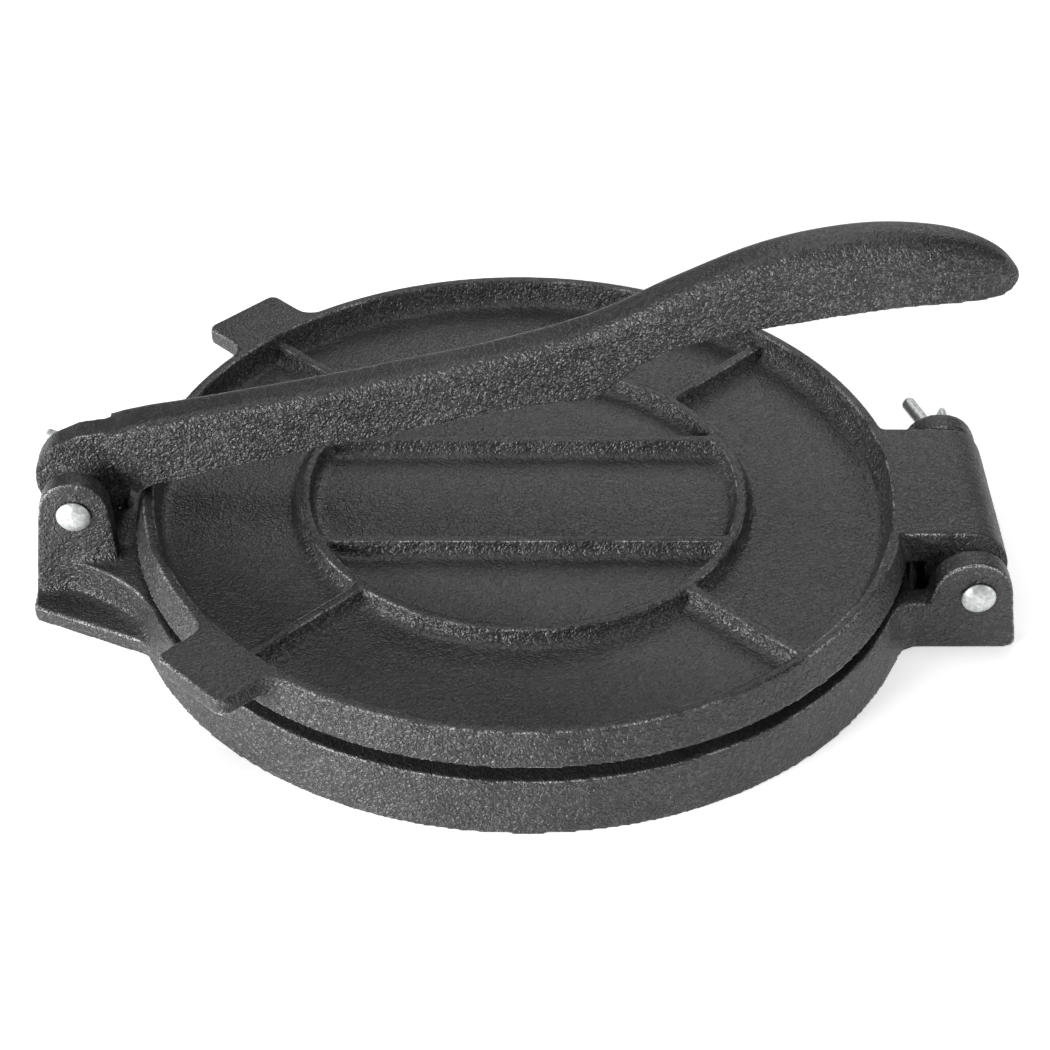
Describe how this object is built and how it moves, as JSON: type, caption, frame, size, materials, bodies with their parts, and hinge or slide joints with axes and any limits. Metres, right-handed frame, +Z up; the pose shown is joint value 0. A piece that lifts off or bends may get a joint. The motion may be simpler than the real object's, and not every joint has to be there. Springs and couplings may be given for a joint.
{
  "type": "tortilla press",
  "caption": "Round cast-iron tortilla press: a ribbed top plate hinged at one side closes on a base plate, and a long lever handle pivoted at the other side lies over it.",
  "frame": {"origin": "centre of the round base on the plane it stands on", "axes": "+Z up, +X from the handle's pivot towards the plate's hinge, -Y towards the viewer of the picture, where the pins' heads are"},
  "size_m": [0.2702, 0.221, 0.1098],
  "materials": {
    "cast_iron": "seasoned, dark grey satin with a fine pebbled as-cast skin",
    "pin_steel": "bright zinc plated"
  },
  "bodies": {
    "base": {"base_plate": "cast_iron", "handle_pin": "pin_steel", "hinge_pin": "pin_steel"},
    "plate": {"top_plate": "cast_iron"},
    "lever": {"press_handle": "cast_iron"}
  },
  "joints": [
    {"name": "handle_pivot", "type": "hinge", "parent": "base", "child": "lever", "pos_m": [-0.1221, 0, 0.0305], "axis": [0, -1, 0], "range_deg": [0, 160]},
    {"name": "plate_hinge", "type": "hinge", "parent": "base", "child": "plate", "pos_m": [0.1221, 0, 0.0178], "axis": [0, 1, 0], "range_deg": [0, 180]}
  ],
  "couplings": [
    {"joint": "plate_hinge", "follows": "handle_pivot", "ratio": 0.1}
  ]
}
